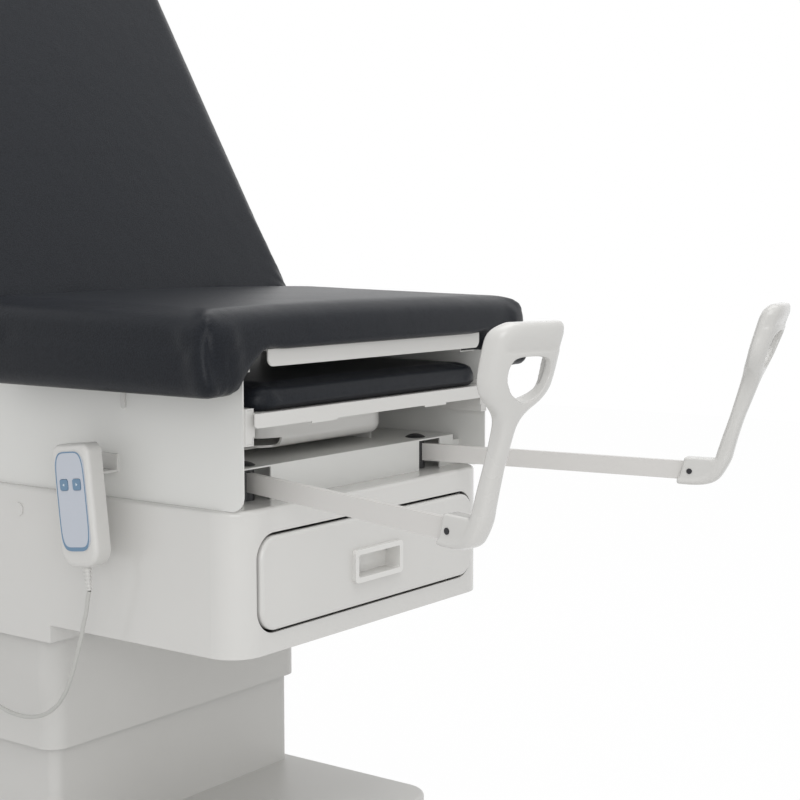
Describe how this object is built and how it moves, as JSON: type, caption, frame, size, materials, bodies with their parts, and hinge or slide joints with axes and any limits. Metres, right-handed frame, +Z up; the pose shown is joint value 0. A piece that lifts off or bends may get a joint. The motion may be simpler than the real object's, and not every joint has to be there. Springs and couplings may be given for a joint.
{
  "type": "examination table",
  "caption": "Height-adjustable examination table with raised backrest, sliding leg rest, basin, drawer, swivelling stirrups and hand control.",
  "frame": {"origin": "on the floor, in the middle of the lifting column, on the sole of the base's edge strip", "axes": "+Z up; -Y towards the foot end, where the nose with the drawer is; +X to the right of someone who stands at the foot end"},
  "size_m": [0.7094, 1.4516, 1.4574],
  "materials": {
    "pale_enamel": "satin",
    "moulded_cover": "gloss",
    "white_enamel": "satin",
    "arm_enamel": "satin",
    "steel": "satin",
    "screws": "gloss",
    "vinyl_padding": "satin",
    "board": "matte",
    "rubber": "matte",
    "black_plastic": "matte",
    "spring_enamel": "gloss",
    "white_plastic": "gloss",
    "handset_face": "satin",
    "keys": "satin",
    "cord": "matte"
  },
  "bodies": {
    "base": {"base_plate": "steel", "levelling_feet": "rubber", "base_cover": "moulded_cover", "base_edge_strip": "rubber", "lower_shroud": "moulded_cover", "column_outer": "steel", "lift_motor": "steel", "spindle_lower": "steel", "control_box": "black_plastic", "mains_inlet": "black_plastic"},
    "middle_stage": {"column_middle": "steel", "upper_shroud": "moulded_cover", "spindle_middle": "steel"},
    "table": {"column_inner": "steel", "spindle_upper": "steel", "chassis_side_tubes": "steel", "chassis_cross_beams": "steel", "main_cover": "moulded_cover", "side_panel_left": "pale_enamel", "side_panel_right": "pale_enamel", "leg_rest_rails": "white_enamel", "stirrup_housing": "pale_enamel", "seat_plate": "white_enamel", "seat_board": "board", "seat_cushion": "vinyl_padding", "deck_beam": "steel", "backrest_brackets": "steel", "drawer_runners": "steel", "basin_rails": "white_enamel", "cover_plugs": "moulded_cover", "cushion_clips": "white_plastic", "handset_hook": "white_plastic", "handset_body": "white_plastic", "handset_face": "handset_face", "handset_strain_relief": "cord", "cable_gland": "white_plastic", "handset_cord": "cord"},
    "key_up": {"key_up": "keys"},
    "key_down": {"key_down": "keys"},
    "drawer": {"drawer_tray": "white_enamel", "drawer_front": "moulded_cover", "drawer_handle": "white_plastic"},
    "leg_rest": {"leg_rest_plate": "white_enamel", "leg_rest_cushion": "vinyl_padding"},
    "basin": {"basin": "white_plastic"},
    "swivel_left": {"swivel_yoke_left": "black_plastic", "pivot_cap_left": "black_plastic"},
    "swivel_right": {"swivel_yoke_right": "black_plastic", "pivot_cap_right": "black_plastic"},
    "arm_left": {"stirrup_arm_left": "arm_enamel", "heel_rest_left": "white_plastic", "heel_screw_left": "screws"},
    "arm_right": {"stirrup_arm_right": "arm_enamel", "heel_rest_right": "white_plastic", "heel_screw_right": "screws"},
    "backrest": {"backrest_plate": "white_enamel", "backrest_cushion": "vinyl_padding", "hinge_pins": "steel"},
    "gas_spring_tube": {"gas_spring_tube": "spring_enamel"},
    "gas_spring_rod": {"gas_spring_rod": "steel"}
  },
  "joints": [
    {"name": "table_lift", "type": "slide", "parent": "base", "child": "table", "axis": [0, 0, 1], "range_m": [-0.24, 0.07]},
    {"name": "middle_lift", "type": "slide", "parent": "base", "child": "middle_stage", "axis": [0, 0, 1], "range_m": [-0.13, 0.045]},
    {"name": "drawer_slide", "type": "slide", "parent": "table", "child": "drawer", "axis": [0, -1, 0], "range_m": [0, 0.26]},
    {"name": "leg_rest_slide", "type": "slide", "parent": "table", "child": "leg_rest", "axis": [0, -1, 0], "range_m": [0, 0.3]},
    {"name": "basin_slide", "type": "slide", "parent": "table", "child": "basin", "axis": [0, -1, 0], "range_m": [0, 0.18]},
    {"name": "stirrup_swivel_left", "type": "hinge", "parent": "table", "child": "swivel_left", "pos_m": [-0.184, -0.476, 0.594], "axis": [0, 0, -1], "range_deg": [-14.2, 25]},
    {"name": "stirrup_swivel_right", "type": "hinge", "parent": "table", "child": "swivel_right", "pos_m": [0.184, -0.476, 0.594], "axis": [0, 0, 1], "range_deg": [-14.2, 25]},
    {"name": "arm_slide_left", "type": "slide", "parent": "swivel_left", "child": "arm_left", "axis": [-0.2453, -0.9693, -0.0175], "range_m": [-0.2, 0.02]},
    {"name": "arm_slide_right", "type": "slide", "parent": "swivel_right", "child": "arm_right", "axis": [0.2453, -0.9693, -0.0175], "range_m": [-0.2, 0.02]},
    {"name": "backrest_hinge", "type": "hinge", "parent": "table", "child": "backrest", "pos_m": [0, -0.108, 0.793], "axis": [1, 0, 0], "range_deg": [-60, 10]},
    {"name": "gas_spring_swing", "type": "hinge", "parent": "backrest", "child": "gas_spring_tube", "pos_m": [0, 0.03829, 0.91437], "axis": [1, 0, 0], "range_deg": [-6, 31]},
    {"name": "gas_spring_stroke", "type": "slide", "parent": "gas_spring_tube", "child": "gas_spring_rod", "axis": [0, -0.4118, -0.9113], "range_m": [-0.14, 0.026]},
    {"name": "key_up_press", "type": "slide", "parent": "table", "child": "key_up", "axis": [1, 0, 0], "range_m": [0, 0.001], "stiffness_N_per_m": 400, "springref_m": -0.001},
    {"name": "key_down_press", "type": "slide", "parent": "table", "child": "key_down", "axis": [1, 0, 0], "range_m": [0, 0.001], "stiffness_N_per_m": 400, "springref_m": -0.001}
  ],
  "couplings": [
    {"joint": "middle_lift", "follows": "table_lift", "ratio": 0.5},
    {"joint": "gas_spring_swing", "follows": "backrest_hinge", "ratio": -0.5},
    {"joint": "gas_spring_stroke", "follows": "backrest_hinge", "m_per_rad": 0.12329}
  ]
}
